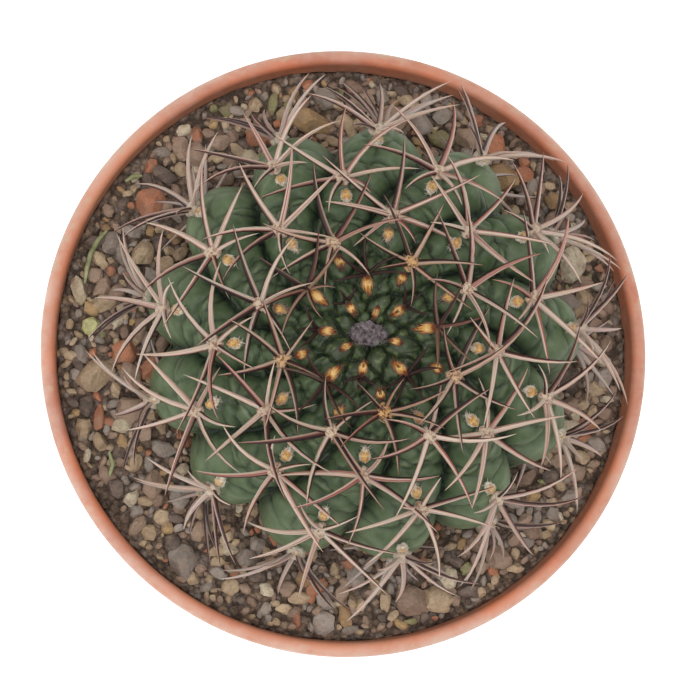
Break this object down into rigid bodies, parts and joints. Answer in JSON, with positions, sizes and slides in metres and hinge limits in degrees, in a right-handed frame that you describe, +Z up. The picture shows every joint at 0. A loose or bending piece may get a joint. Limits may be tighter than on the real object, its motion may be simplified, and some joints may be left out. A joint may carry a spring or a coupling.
{
  "type": "potted round cactus",
  "caption": "Flattened round cactus with spiral ribs, woolly areoles and long curved spines, rooted in gravelly soil in a tapered nursery pot with a rolled rim.",
  "frame": {"origin": "centre of the pot's flat base, on the surface that the pot stands on", "axes": "+Z up through the middle of the pot and the crown of the plant; +X to the right and +Y away in the reference view from above"},
  "size_m": [0.12, 0.12, 0.1319],
  "materials": {
    "pot_plastic": "terracotta coloured plastic, matt, faded to a pale bloom on the rim",
    "gravel_mix": "rough gravelly potting mix",
    "cactus_skin": "matt waxy green skin with pinkish grey spines and cream wool",
    "grey_wool": "short matted wool"
  },
  "bodies": {
    "root": {"pot": "pot_plastic", "soil": "gravel_mix", "cactus": "cactus_skin", "crown_wool": "grey_wool"}
  },
  "joints": []
}
